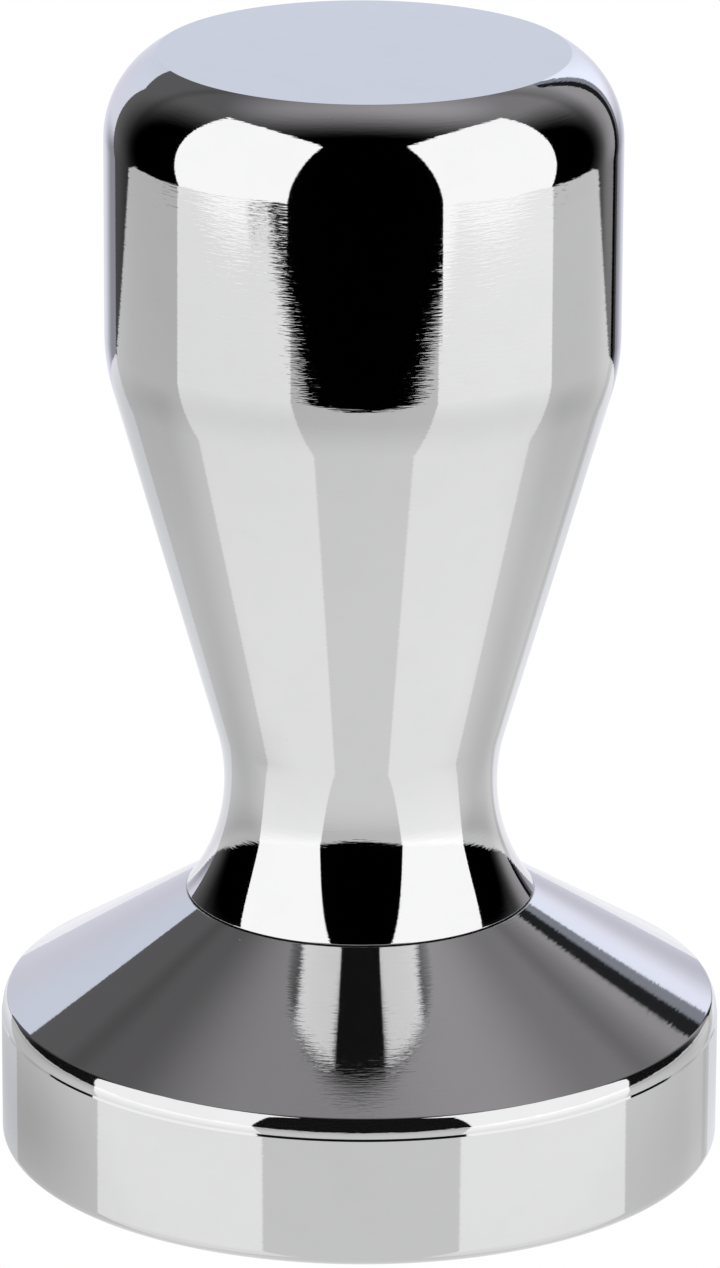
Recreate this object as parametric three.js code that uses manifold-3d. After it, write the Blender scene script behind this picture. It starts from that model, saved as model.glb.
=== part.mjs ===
// Espresso tamper: a turned steel piston screwed to a solid steel handle.
// Millimetres, +Z up. The origin is the centre of the flat tamping face.
//
//   base           piston: flat face, straight wall, cone, seat, boss and blind tapped hole
//   handle         palm disc, shoulder, barrel, taper and flared neck, recessed underneath
//   threaded_stud  headless M8 screw locked in the handle; its lower half screws into the base
//   o_ring         rubber ring in the handle's recess that grips the base's boss
//
// The handle unscrews from the base about +Z and rises one thread pitch a turn.

import * as THREE from "three";
import { mergeVertices } from "three/addons/utils/BufferGeometryUtils.js";
import Module from "manifold-3d";

const wasm = await Module();
wasm.setup();

// ---------------------------------------------------------------- driving dimensions

const TURNED_STEPS = 64; // facets round the large turned pieces
const RING_STEPS = 48; // facets round the rubber ring
const THREAD_STEPS = 16; // facets in one turn of thread
const SECTION_STEPS = 12; // facets round the rubber ring's section
const ARC_TURN = 0.16; // largest turn between two facets of a round, radians

const JOINT_GAP = 0.3; // between faces that meet when the tamper is screwed up tight
const HEXAGON = 6; // sides of the socket
const CUT = 1; // how far a cutting shape runs past the piece that it cuts

const base = {
  radius: 29, // fits a 58 mm basket
  faceEdgeRadius: 1.04, // round between the tamping face and the wall
  wallTop: 10.69, // where the straight wall ends
  shoulderRadius: 5, // round between the wall and the cone
  shoulderEnd: 0.375, // slope of the round's normal where the cone starts, radians
  seatRadius: 14.12,
  seatHeight: 21.2,
  bossRadius: 8,
  bossHeight: 25,
  bossChamfer: 0.6,
  holeBottom: 12,
};

const handle = {
  height: 90.6, // top of the palm disc above the tamping face
  palmRadius: 16.23, // flat disc on top
  barrelRadius: 20.41,
  palmShoulderRadius: 7.44, // round between the palm disc and the barrel
  barrelTop: 83.9,
  barrelBottom: 65.66,
  taperRadius: 11.56, // bottom of the straight taper
  taperBottom: 34.74,
  rimRadius: 14.04, // lower edge of the flared neck
  recessRadius: 8.3,
  recessRoof: 27,
  rimChamfer: 0.3,
  holeTop: 42,
};

const ring = {
  section: 0.89, // section radius
  clearance: 0.15, // to the boss inside it
  seat: 0.27, // to the groove round it
  height: 23.4,
};

const thread = {
  pitch: 1.25, // M8 coarse, right-hand
  pitchRadius: 3.594,
  crestRadius: 3.95,
  rootRadius: 3.23,
  flankAngle: Math.PI / 6,
  overlap: 0.08, // how far the ridge is sunk into its core
  rootClearance: 0.15, // between the screw and a tapped hole
  crestClearance: 0.2,
  flankClearance: 0.1,
  drillPoint: (31 * Math.PI) / 180, // slope of the cone at the bottom of a hole
};

const stud = {
  bottom: 13.75, // nine turns of thread are in the base
  top: 38.75,
  blankRadius: 4.05, // the chamfers at both ends start from it
  chamfer: 0.7,
  socketAcrossFlats: 4,
  socketDepth: 4,
};

// ---------------------------------------------------------------- solids

// A closed three.js geometry as a manifold solid, with its faces turned outwards.
function solid(geometry) {
  const plain = geometry.clone();
  plain.deleteAttribute("normal");
  plain.deleteAttribute("uv");
  const merged = mergeVertices(plain, 1e-5);
  const position = merged.attributes.position.array;
  const corners = merged.index.array;
  const kept = [];
  let volume = 0;
  for (let i = 0; i < corners.length; i += 3) {
    const [a, b, c] = [corners[i], corners[i + 1], corners[i + 2]];
    if (a === b || b === c || c === a) continue;
    const [pa, pb, pc] = [a, b, c].map((k) => new THREE.Vector3().fromArray(position, 3 * k));
    volume += pa.dot(pb.cross(pc)) / 6;
    kept.push([a, b, c]);
  }
  const triangles = kept.map(([a, b, c]) => (volume > 0 ? [a, b, c] : [a, c, b]));
  return new wasm.Manifold(
    new wasm.Mesh({
      numProp: 3,
      vertProperties: new Float32Array(position),
      triVerts: new Uint32Array(triangles.flat()),
    }),
  );
}

// A manifold solid as a three.js geometry.
function geometryOf(body) {
  const mesh = body.getMesh();
  const geometry = new THREE.BufferGeometry();
  geometry.setAttribute("position", new THREE.BufferAttribute(new Float32Array(mesh.vertProperties), 3));
  geometry.setIndex(new THREE.BufferAttribute(new Uint32Array(mesh.triVerts), 1));
  geometry.computeVertexNormals();
  return geometry;
}

// A profile of [radius, height] points turned about +Z.
function turned(profile, steps) {
  const points = profile.map(([radius, height]) => new THREE.Vector2(radius, height));
  const lathe = new THREE.LatheGeometry(points, steps);
  lathe.rotateX(Math.PI / 2);
  return solid(lathe);
}

// Points of an arc in a profile; angles are in radians from the outward radius towards +Z.
function arc(centre, radius, start, end, turn = ARC_TURN) {
  const count = Math.round(Math.abs(end - start) / turn);
  const points = [];
  for (let i = 0; i <= count; i += 1) {
    const angle = start + ((end - start) * i) / count;
    points.push([centre[0] + radius * Math.cos(angle), centre[1] + radius * Math.sin(angle)]);
  }
  return points;
}

// A thread ridge: a trapezium carried up a right-hand helix that passes through +X at z = 0.
function helicalRidge({ inner, outer, widthAtPitch, from, to }) {
  const flank = Math.tan(thread.flankAngle);
  const halfWidth = (radius) => widthAtPitch / 2 - (radius - thread.pitchRadius) * flank;
  const section = [
    [inner, -halfWidth(inner)],
    [outer, -halfWidth(outer)],
    [outer, halfWidth(outer)],
    [inner, halfWidth(inner)],
  ];
  const first = Math.floor((from / thread.pitch) * THREAD_STEPS);
  const last = Math.ceil((to / thread.pitch) * THREAD_STEPS);
  const vertices = [];
  const indices = [];
  for (let step = first; step <= last; step += 1) {
    const turn = step / THREAD_STEPS;
    const angle = 2 * Math.PI * turn;
    for (const [radius, rise] of section) {
      vertices.push(radius * Math.cos(angle), radius * Math.sin(angle), turn * thread.pitch + rise);
    }
  }
  const count = last - first;
  for (let i = 0; i < count; i += 1) {
    for (let k = 0; k < 4; k += 1) {
      const a = 4 * i + k;
      const b = 4 * i + ((k + 1) % 4);
      indices.push(a, b, b + 4, a, b + 4, a + 4);
    }
  }
  const end = 4 * count;
  indices.push(0, 2, 1, 0, 3, 2, end, end + 1, end + 2, end, end + 2, end + 3);
  const geometry = new THREE.BufferGeometry();
  geometry.setAttribute("position", new THREE.Float32BufferAttribute(vertices, 3));
  geometry.setIndex(indices);
  return solid(geometry);
}

// What a tap removes: a core with the screw's ridge round it, both with clearance.
// A drill point closes the core at depthEnd, and mouth is the open end.
function tappedHole({ depthEnd, mouth, chamferAt }) {
  const core = thread.rootRadius + thread.rootClearance;
  const crest = thread.crestRadius + thread.crestClearance;
  const direction = Math.sign(mouth - depthEnd);
  const point = depthEnd - direction * core * Math.tan(thread.drillPoint);
  const drill = turned(
    [
      [0, point],
      [core, depthEnd],
      [core, mouth],
      [0, mouth],
    ],
    THREAD_STEPS,
  );
  const threadEnd = depthEnd + direction * thread.pitch;
  const ridge = helicalRidge({
    inner: core - thread.overlap,
    outer: crest,
    widthAtPitch: thread.pitch / 2 + (2 * thread.flankClearance) / Math.cos(thread.flankAngle),
    from: Math.min(threadEnd, mouth),
    to: Math.max(threadEnd, mouth),
  });
  const countersink = turned(
    [
      [0, chamferAt - direction * crest],
      [crest + CUT, chamferAt + direction * CUT],
      [0, chamferAt + direction * CUT],
    ],
    THREAD_STEPS,
  );
  return drill.add(ridge).add(countersink);
}

// ---------------------------------------------------------------- base

function makeBase() {
  const edge = base.faceEdgeRadius;
  const shoulder = [base.radius - base.shoulderRadius, base.wallTop];
  const profile = [
    [0, 0],
    ...arc([base.radius - edge, edge], edge, -Math.PI / 2, 0),
    ...arc(shoulder, base.shoulderRadius, 0, base.shoulderEnd),
    [base.seatRadius, base.seatHeight],
    [base.bossRadius, base.seatHeight],
    [base.bossRadius, base.bossHeight - base.bossChamfer],
    [base.bossRadius - base.bossChamfer, base.bossHeight],
    [0, base.bossHeight],
  ];
  const hole = tappedHole({
    depthEnd: base.holeBottom,
    mouth: base.bossHeight + thread.pitch,
    chamferAt: base.bossHeight,
  });
  return turned(profile, TURNED_STEPS).subtract(hole);
}

// ---------------------------------------------------------------- handle

// The hollow of the neck: an arc tangent to the straight taper that ends on the rim.
function neckArc(rimHeight) {
  const slope = Math.atan2(
    handle.barrelRadius - handle.taperRadius,
    handle.barrelBottom - handle.taperBottom,
  );
  const span = [handle.rimRadius - handle.taperRadius, rimHeight - handle.taperBottom];
  const lean = span[0] * Math.cos(slope) - span[1] * Math.sin(slope);
  const radius = (span[0] ** 2 + span[1] ** 2) / (2 * lean);
  const centre = [
    handle.taperRadius + radius * Math.cos(slope),
    handle.taperBottom - radius * Math.sin(slope),
  ];
  const start = Math.PI + Math.asin((centre[1] - rimHeight) / radius);
  const end = Math.PI - slope;
  return arc(centre, radius, start, end);
}

function makeHandle() {
  const rimHeight = base.seatHeight + JOINT_GAP;
  const shoulder = [handle.barrelRadius - handle.palmShoulderRadius, handle.barrelTop];
  const groove = ringGroove();
  const palmEnd = Math.acos((handle.palmRadius - shoulder[0]) / handle.palmShoulderRadius);
  const profile = [
    [0, handle.recessRoof],
    [handle.recessRadius, handle.recessRoof],
    [handle.recessRadius, groove.top],
    [groove.radius, groove.top],
    [groove.radius, groove.bottom],
    [handle.recessRadius, groove.bottom],
    [handle.recessRadius, rimHeight + handle.rimChamfer],
    [handle.recessRadius + handle.rimChamfer, rimHeight],
    ...neckArc(rimHeight),
    [handle.barrelRadius, handle.barrelBottom],
    ...arc(shoulder, handle.palmShoulderRadius, 0, palmEnd),
    [handle.palmRadius, handle.height],
    [0, handle.height],
  ];
  const hole = tappedHole({
    depthEnd: handle.holeTop,
    mouth: handle.recessRoof - thread.pitch,
    chamferAt: handle.recessRoof,
  });
  return turned(profile, TURNED_STEPS).subtract(hole);
}

// ---------------------------------------------------------------- ring and its groove

function ringGroove() {
  const halfHeight = ring.section + ring.clearance;
  return {
    radius: base.bossRadius + ring.clearance + 2 * ring.section + ring.seat,
    bottom: ring.height - halfHeight,
    top: ring.height + halfHeight,
  };
}

function makeRing() {
  const centre = [base.bossRadius + ring.clearance + ring.section, ring.height];
  const loop = arc(centre, ring.section, 0, 2 * Math.PI, (2 * Math.PI) / SECTION_STEPS);
  loop[loop.length - 1] = loop[0];
  return turned(loop, RING_STEPS);
}

// ---------------------------------------------------------------- stud

function makeStud() {
  const core = turned(
    [
      [0, stud.bottom - CUT],
      [thread.rootRadius, stud.bottom - CUT],
      [thread.rootRadius, stud.top + CUT],
      [0, stud.top + CUT],
    ],
    THREAD_STEPS,
  );
  const ridge = helicalRidge({
    inner: thread.rootRadius - thread.overlap,
    outer: thread.crestRadius,
    widthAtPitch: thread.pitch / 2,
    from: stud.bottom - CUT,
    to: stud.top + CUT,
  });
  const blank = turned(
    [
      [0, stud.bottom],
      [stud.blankRadius - stud.chamfer, stud.bottom],
      [stud.blankRadius, stud.bottom + stud.chamfer],
      [stud.blankRadius, stud.top - stud.chamfer],
      [stud.blankRadius - stud.chamfer, stud.top],
      [0, stud.top],
    ],
    2 * THREAD_STEPS,
  );
  const hexagonRadius = stud.socketAcrossFlats / 2 / Math.cos(Math.PI / HEXAGON);
  const socket = turned(
    [
      [0, stud.bottom - CUT],
      [hexagonRadius, stud.bottom - CUT],
      [hexagonRadius, stud.bottom + stud.socketDepth],
      [0, stud.bottom + stud.socketDepth + CUT],
    ],
    HEXAGON,
  );
  return core.add(ridge).intersect(blank).subtract(socket);
}

// ---------------------------------------------------------------- the assembly

const polishedSteel = { color: 0xd8dae0, roughness: 0.1, metalness: 1 };
const plainSteel = { color: 0x9b9da1, roughness: 0.35, metalness: 1 };
const blackRubber = { color: 0x161617, roughness: 0.75, metalness: 0 };

function piece(name, body, finish) {
  const mesh = new THREE.Mesh(geometryOf(body), new THREE.MeshStandardMaterial(finish));
  mesh.name = name;
  return mesh;
}

const piston = new THREE.Group();
piston.add(piece("base", makeBase(), polishedSteel));

const grip = new THREE.Group();
grip.add(piece("handle", makeHandle(), polishedSteel));
grip.add(piece("threaded_stud", makeStud(), plainSteel));
grip.add(piece("o_ring", makeRing(), blackRubber));

const tamper = new THREE.Group();
tamper.add(piston, grip);

export default tamper;
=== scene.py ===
"""Espresso tamper: a polished steel piston screwed to a polished steel handle.

Laid out as a Blender add-on and run as a script. Every piece is a surface worked out
with numpy round the Z axis, in metres, in the packed CAD model's frame.
"""

import math

import bpy
import numpy as np
from bpy.props import FloatProperty, FloatVectorProperty, PointerProperty
from mathutils import Matrix, Vector


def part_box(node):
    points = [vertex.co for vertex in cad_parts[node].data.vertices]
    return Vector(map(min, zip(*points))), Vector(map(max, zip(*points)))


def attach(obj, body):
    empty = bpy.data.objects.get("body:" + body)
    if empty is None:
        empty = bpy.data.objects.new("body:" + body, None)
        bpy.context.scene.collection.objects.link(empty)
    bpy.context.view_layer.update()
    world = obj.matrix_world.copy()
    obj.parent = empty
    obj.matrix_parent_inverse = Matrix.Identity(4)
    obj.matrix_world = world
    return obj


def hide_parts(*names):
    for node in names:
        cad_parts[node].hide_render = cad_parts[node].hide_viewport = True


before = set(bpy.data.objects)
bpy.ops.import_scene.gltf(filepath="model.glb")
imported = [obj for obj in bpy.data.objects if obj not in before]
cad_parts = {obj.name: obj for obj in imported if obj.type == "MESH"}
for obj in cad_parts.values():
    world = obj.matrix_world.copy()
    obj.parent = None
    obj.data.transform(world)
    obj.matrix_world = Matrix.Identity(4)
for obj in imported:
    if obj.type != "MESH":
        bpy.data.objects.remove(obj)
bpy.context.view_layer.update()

bl_info = {
    "name": "Espresso Tamper",
    "version": (1, 0, 0),
    "blender": (4, 5, 0),
    "location": "3D View > Sidebar > Tamper",
    "description": "Builds a polished steel espresso tamper and its studio",
    "category": "Add Mesh",
}

MM = 0.001
BASE_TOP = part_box("base")[1]
HANDLE_LOW, HANDLE_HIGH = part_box("handle")
RING_LOW, RING_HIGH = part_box("o_ring")
STUD_LOW, STUD_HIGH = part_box("threaded_stud")

COLUMNS = 192  # facets round the turned pieces
STUD_COLUMNS = 96
RING_COLUMNS = 160
ROWS_PER_PITCH = 16  # rows of a thread in one pitch
ARC_STEP = math.radians(1.6)  # largest turn between two rows of a round
FLANK = math.tan(math.radians(30))  # slope of a 60 degree thread's flanks
FLANK_GAP = 0.115 * MM  # between the screw's flanks and a tapped hole's, along the axis
CREST_GAP = 0.05 * MM  # a tapped hole's depth beyond the clearance
CORNER = 0.06 * MM  # round on the turned pieces' corners
DRILL_POINT = 2.0 * MM  # depth of the drill's point past the thread


# ------------------------------------------------------------------ settings


def cad_length(name, description, metres):
    """A length property in metres, whose default comes from the CAD model."""
    return FloatProperty(
        name=name, description=description, default=metres, min=0.0, unit="LENGTH", precision=5
    )


def length(name, description, millimetres):
    """A length property in metres, whose default is given in millimetres."""
    return cad_length(name, description, millimetres * MM)


def tint(name, description, colour, brightest=1.0):
    """A colour property, whose parts run from black to brightest."""
    return FloatVectorProperty(
        name=name,
        description=description,
        subtype="COLOR",
        size=3,
        min=0.0,
        max=brightest,
        default=colour,
    )


class TamperBaseSettings(bpy.types.PropertyGroup):
    """Sizes of the piston"""

    radius: cad_length("Piston radius", "Half of the basket size", BASE_TOP.x)
    boss_top: cad_length("Boss height", "Top of the boss above the tamping face", BASE_TOP.z)
    face_edge: length("Face edge round", "Round between the face and the wall", 1.04)
    wall_top: length("Wall height", "Where the straight wall ends", 10.65)
    step_rise: length("Step rise", "Height of the fine step above the wall", 0.19)
    step_depth: length("Step depth", "How far the shoulder stands in from the wall", 0.06)
    cone_radius: length("Cone radius", "Lower edge of the cone", 28.55)
    cone_height: length("Cone height", "Lower edge of the cone above the face", 12.36)
    cone_round: length("Cone round", "Round between the shoulder and the cone", 0.5)
    seat_radius: length("Seat radius", "Outer edge of the seat", 14.12)
    seat_height: length("Seat height", "Seat above the tamping face", 21.2)
    boss_radius: length("Boss radius", "Radius of the boss", 8.0)
    hole_bottom: length("Hole bottom", "Height where the tapped hole ends", 12.0)


class TamperHandleSettings(bpy.types.PropertyGroup):
    """Sizes of the handle"""

    top: cad_length("Overall height", "Palm disc above the tamping face", HANDLE_HIGH.z)
    rim_height: cad_length(
        "Rim height", "Lower face of the rim; nearly shuts the seam", HANDLE_LOW.z - 0.2 * MM
    )
    barrel_radius: cad_length("Barrel radius", "Radius of the straight barrel", HANDLE_HIGH.x)
    palm_radius: length("Palm disc radius", "Flat disc on top", 16.23)
    barrel_top: length("Barrel top", "Height where the barrel starts to round", 83.65)
    barrel_bottom: length("Barrel bottom", "Height where the taper starts", 65.66)
    barrel_ease: length("Barrel ease", "Round between the barrel and the taper", 16.0)
    taper_radius: length("Taper radius", "Radius at the bottom of the taper", 11.56)
    taper_bottom: length("Taper bottom", "Height where the taper ends", 34.74)
    rim_radius: length("Rim radius", "Lower edge of the flared neck", 14.04)
    recess_radius: length("Recess radius", "Recess that takes the boss", 8.3)
    recess_roof: length("Recess roof", "Height of the recess's roof", 27.0)
    hole_top: length("Hole top", "Height where the tapped hole ends", 42.0)


class TamperThreadSettings(bpy.types.PropertyGroup):
    """Sizes of the M8 coarse thread and of the rubber ring's groove"""

    pitch: length("Pitch", "Rise of the thread in one turn", 1.25)
    crest: length("Crest radius", "Outer radius of the screw", 3.95)
    root: length("Root radius", "Core radius of the screw", 3.23)
    pitch_radius: length("Pitch radius", "Where ridge and gap are equally wide", 3.594)
    clearance: length("Clearance", "Between the screw and a tapped hole", 0.15)
    chamfer: length("Screw chamfer", "Chamfer at the screw's ends", 0.7)
    socket: length("Hexagon", "Width across the flats of the socket", 4.0)
    socket_depth: length("Socket depth", "Depth of the hexagon socket", 4.0)
    groove_slack: length("Groove slack", "Gap round the rubber ring in its groove", 0.27)
    ring_slack: length("Ring slack", "Gap above and below the rubber ring", 0.15)


class TamperFinishSettings(bpy.types.PropertyGroup):
    """Colours and finish of the pieces"""

    polish: tint("Polished steel", "Mirror-polished outside", (0.62, 0.62, 0.625))
    # Painted shade: a darker copy of the polished steel for the piston, standing in for its dimmer
    # reflections.
    piston: tint("Piston steel", "Polished outside of the piston, a little darker", (0.575, 0.575, 0.58))
    machined: tint("Machined steel", "Turned seat, boss, recess and thread", (0.46, 0.455, 0.45))
    stud: tint("Stud steel", "Rolled thread of the stud", (0.34, 0.335, 0.33))
    rubber: tint("Rubber", "Seal ring", (0.018, 0.018, 0.019))
    roughness: FloatProperty(
        name="Polish roughness",
        description="Blur of the polished outside",
        default=0.03,
        min=0.0,
        max=1.0,
    )


class TamperStudioSettings(bpy.types.PropertyGroup):
    """Camera and studio"""

    camera_distance: length("Camera distance", "In front of the axis", 628.9)
    camera_height: length("Camera height", "Above the floor", 253.3)
    camera_aside: length("Camera aside", "Left of the axis", 0.11)
    camera_pitch: FloatProperty(
        name="Camera pitch",
        description="Downward tilt of the view",
        default=math.radians(18.52),
        subtype="ANGLE",
    )
    camera_roll: FloatProperty(
        name="Camera roll",
        description="Turn about the line of sight",
        default=math.radians(0.28),
        subtype="ANGLE",
    )
    focal_length: FloatProperty(
        name="Focal length",
        description="Lens, in millimetres, for a 36 mm sensor",
        default=235.7,
        min=1.0,
    )
    panel_distance: length("Panel distance", "From the axis to a panel's foot", 450.0)
    panel_radiance: FloatProperty(
        name="Panel radiance", description="Brightness of the side panels", default=1.5
    )
    table_front: length("Table front", "From the axis to the table's front edge", 238.0)
    table_back: length("Table back", "From the axis to the table's back edge", 175.0)
    table_half_width: length("Table half width", "From the axis to either side", 330.0)
    floor_radiance: FloatProperty(
        name="Floor radiance",
        description="Brightness of the lit table in reflections",
        default=0.94,
    )
    backdrop: tint("Backdrop", "Cool white behind the tamper", (0.83, 0.88, 1.02), 2.0)


# ------------------------------------------------------------------ profiles
#
# A profile is an array of rows (radius, height, normal radius, normal height) that runs
# with the outside on its right, in the half plane beside the axis.


def line(start, end, rows=2):
    """Points spaced evenly from start to end; the normal is the direction turned right."""
    start, end = np.array(start, float), np.array(end, float)
    share = np.linspace(0.0, 1.0, rows)[:, None]
    along = (end - start) / np.linalg.norm(end - start)
    points = start + (end - start) * share
    normal = np.tile((along[1], -along[0]), (rows, 1))
    return np.hstack([points, normal])


def arc(centre, radius, first, last):
    """Points at centre + radius (cos a, sin a) for angles a from first to last.

    The normal points away from the centre where a grows, and towards it where a falls.
    """
    rows = 2 + int(abs(last - first) / ARC_STEP)
    angle = np.linspace(first, last, rows)
    ray = np.stack([np.cos(angle), np.sin(angle)], 1)
    return np.hstack([np.array(centre, float) + radius * ray, math.copysign(1, last - first) * ray])


def shortened(stroke, cut, at_start):
    """A stroke with its first or last row moved inwards by cut, and no row left before it."""
    corner = stroke[0 if at_start else -1].copy()
    kept = stroke[np.linalg.norm(stroke[:, :2] - corner[:2], axis=1) > 1.01 * cut]
    corner[:2] += (cut if at_start else -cut) * np.array([-corner[3], corner[2]])
    return np.vstack([corner, kept] if at_start else [kept, corner])


def joined(strokes, edge):
    """The strokes one after another, with each corner eased by a small round.

    Where the normals of two strokes differ, both are cut back by a radius times the
    tangent of half the turn, and an arc of that radius, tangent to both, takes the
    corner's place. The radius is edge, or the number that stands between the strokes.
    """
    rows = [strokes[0]]
    radius = edge
    for stroke in strokes[1:]:
        if isinstance(stroke, float):
            radius = stroke
            continue
        before, after = rows[-1][-1, 2:], stroke[0, 2:]
        turn = math.atan2(before[0] * after[1] - before[1] * after[0], before @ after)
        if abs(turn) > 0.02:
            cut = radius * math.tan(abs(turn) / 2)
            rows[-1] = shortened(rows[-1], cut, False)
            stroke = shortened(stroke, cut, True)
            side = math.copysign(1.0, turn)
            centre = rows[-1][-1, :2] - side * radius * before
            start = math.atan2(side * before[1], side * before[0])
            steps = np.linspace(start, start + turn, 9)[1:-1]
            ray = np.stack([np.cos(steps), np.sin(steps)], 1)
            rows.append(np.hstack([centre + radius * ray, side * ray]))
        else:
            stroke = stroke[1:]
        rows.append(stroke)
        radius = edge
    return np.vstack(rows)


def arc_through(start, normal_angle, end):
    """An arc from start, where its outward normal is at normal_angle, to end.

    The radius is the chord's square over twice its fall below the tangent at start, and
    it is negative for a hollow.
    """
    start, end = np.array(start, float), np.array(end, float)
    normal = np.array([math.cos(normal_angle), math.sin(normal_angle)])
    chord = end - start
    radius = -(chord @ chord) / (2 * (chord @ normal))
    centre = start - radius * normal
    side = math.copysign(1.0, radius)
    first = math.atan2(side * normal[1], side * normal[0])
    turn = math.remainder(math.atan2(*(end - centre)[::-1]) - first, 2 * math.pi)
    angle = np.linspace(first, first + turn, 2 + int(abs(turn) / ARC_STEP))
    ray = np.stack([np.cos(angle), np.sin(angle)], 1)
    return np.hstack([centre + abs(radius) * ray, side * ray])


def thread_ridge(height, angle, crest, root, half_crest, pitch):
    """Radius of a right-hand 60 degree thread at each height and angle.

    With w the distance along the axis to the nearest turn of the ridge, whose middle is
    at height pitch times angle over a full turn, the radius is crest less the part of w
    past half the crest's width over tan 30 degrees, and never under root.
    """
    phase = height / pitch - angle / (2 * np.pi)
    away = np.abs(phase - np.round(phase)) * pitch
    return np.clip(crest - (away - half_crest) / FLANK, root, crest)


# ------------------------------------------------------------------ meshes


def lathe(name, radii, heights, normals=None):
    """A closed surface of revolution: point (i, j) is (R cos p, R sin p, Z).

    radii and heights are grids of one row for each profile point and one column for each
    angle p. The first and last rows lie on the axis, and each becomes a single pole.
    normals, a grid of (radius, height) pairs, gives exact shading; without it Blender's
    own smooth shading is used.
    """
    rows, columns = radii.shape
    angle = np.arange(columns) * (2 * np.pi / columns)
    ring = np.stack([radii * np.cos(angle), radii * np.sin(angle), heights], -1)
    inner = ring[1:-1].reshape(-1, 3)
    poles = np.array([[0, 0, heights[0, 0]], [0, 0, heights[-1, 0]]])
    points = np.vstack([inner, poles])

    i = np.arange(rows - 3)[:, None] * columns
    j = np.arange(columns)[None, :]
    k = (j + 1) % columns
    quads = np.stack([i + j, i + k, i + columns + k, i + columns + j], -1).reshape(-1, 4)
    first, last = len(inner), len(inner) + 1
    end = (rows - 3) * columns
    bottom = np.stack([np.full(columns, first), k[0], j[0]], -1)
    top = np.stack([end + j[0], end + k[0], np.full(columns, last)], -1)

    corners = np.concatenate([quads.ravel(), bottom.ravel(), top.ravel()])
    sizes = np.concatenate([np.full(len(quads), 4), np.full(2 * columns, 3)])
    mesh = bpy.data.meshes.new(name)
    mesh.vertices.add(len(points))
    mesh.vertices.foreach_set("co", points.astype(np.float32).ravel())
    mesh.loops.add(len(corners))
    mesh.loops.foreach_set("vertex_index", corners.astype(np.int32))
    mesh.polygons.add(len(sizes))
    starts = np.concatenate([[0], np.cumsum(sizes)[:-1]])
    mesh.polygons.foreach_set("loop_start", starts.astype(np.int32))
    mesh.polygons.foreach_set("use_smooth", np.ones(len(sizes), bool))
    mesh.update(calc_edges=True)
    if mesh.validate():
        raise RuntimeError(f"{name} has faces that Blender had to mend")
    if normals is not None:
        out, up = normals[1:-1, :, 0], normals[1:-1, :, 1]
        around = np.stack([out * np.cos(angle), out * np.sin(angle), up], -1).reshape(-1, 3)
        ends = np.array([[0, 0, normals[0, 0, 1]], [0, 0, normals[-1, 0, 1]]])
        mesh.normals_split_custom_set_from_vertices(np.vstack([around, ends]).tolist())
    piece = bpy.data.objects.new(name, mesh)
    bpy.context.scene.collection.objects.link(piece)
    return piece


def plain_rows(profile, columns):
    """A profile repeated round the axis: grids of radius, height and normal."""
    ones = np.ones((1, columns))
    normals = np.repeat(profile[:, None, 2:], columns, axis=1)
    return profile[:, 0:1] * ones, profile[:, 1:2] * ones, normals


def tapped_rows(thread, low, high, mouth, columns):
    """Rows of a tapped hole's wall from height low to high, with its mouth at mouth.

    The radius is the thread's own, widened by the clearance, or that of a 45 degree
    countersink at the mouth where that is larger. The thread runs out at the blind end.
    """
    rows = 2 + int(round(abs(high - low) / thread.pitch * ROWS_PER_PITCH))
    height = np.linspace(low, high, rows)[:, None] * np.ones((1, columns))
    angle = np.arange(columns)[None, :] * (2 * np.pi / columns)
    crest, root = thread.crest + thread.clearance + CREST_GAP, thread.root + thread.clearance
    half_crest = thread.pitch / 4 + FLANK_GAP - (crest - thread.pitch_radius) * FLANK
    ridge = thread_ridge(height, angle, crest, root, half_crest, thread.pitch)
    blind = low if abs(mouth - low) > abs(mouth - high) else high
    run_out = np.clip(np.abs(height - blind) / thread.pitch - 0.5, 0.0, 1.0)
    radius = root + (ridge - root) * run_out
    return np.maximum(radius, crest - np.abs(height - mouth)), height


def shade_normals(radius, height):
    """Normals of a grid of rows from its own slopes, as (radius, height) pairs.

    The normal is the slope along the profile turned right, and the small lean round the
    axis is left out.
    """
    along_radius, along_height = np.gradient(radius, axis=0), np.gradient(height, axis=0)
    size = np.hypot(along_radius, along_height)
    return np.stack([along_height / size, -along_radius / size], -1)


def stacked(*parts):
    """Grids of radius, height and normal joined into one, row after row."""
    return [np.concatenate(grids, axis=0) for grids in zip(*parts)]


# ------------------------------------------------------------------ node helpers


def node(tree, kind, place, inputs=None, **settings):
    """Adds a node of one kind at a place in the tree, with its inputs and settings.

    inputs gives each input's number or colour, or the socket that feeds it.
    """
    made = tree.nodes.new(kind)
    made.location = place
    for key, value in settings.items():
        setattr(made, key, value)
    for key, value in (inputs or {}).items():
        if isinstance(value, bpy.types.NodeSocket):
            tree.links.new(value, made.inputs[key])
        else:
            made.inputs[key].default_value = value
    return made


def maths(tree, place, operation, *values):
    """A Math node; each value is a number or the socket that feeds it."""
    inputs = dict(enumerate(values))
    return node(tree, "ShaderNodeMath", place, inputs, operation=operation).outputs[0]


def spread(tree, place, value, low, high, to_low=0.0, to_high=1.0):
    """A smooth step from low..high to to_low..to_high, and flat beyond them."""
    made = node(
        tree,
        "ShaderNodeMapRange",
        place,
        {"Value": value, "From Min": low, "From Max": high, "To Min": to_low, "To Max": to_high},
        interpolation_type="SMOOTHSTEP",
    )
    return made.outputs["Result"]


def new_group(name, inputs, outputs):
    """A shader node group with named sockets; inputs are (name, kind, default)."""
    tree = bpy.data.node_groups.new(name, "ShaderNodeTree")
    for label, kind, default in inputs:
        socket = tree.interface.new_socket(label, in_out="INPUT", socket_type=kind)
        if default is not None:
            socket.default_value = default
    for label, kind in outputs:
        tree.interface.new_socket(label, in_out="OUTPUT", socket_type=kind)
    source = node(tree, "NodeGroupInput", (-1200, 0))
    sink = node(tree, "NodeGroupOutput", (900, 0))
    return tree, source.outputs, sink.inputs


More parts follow.
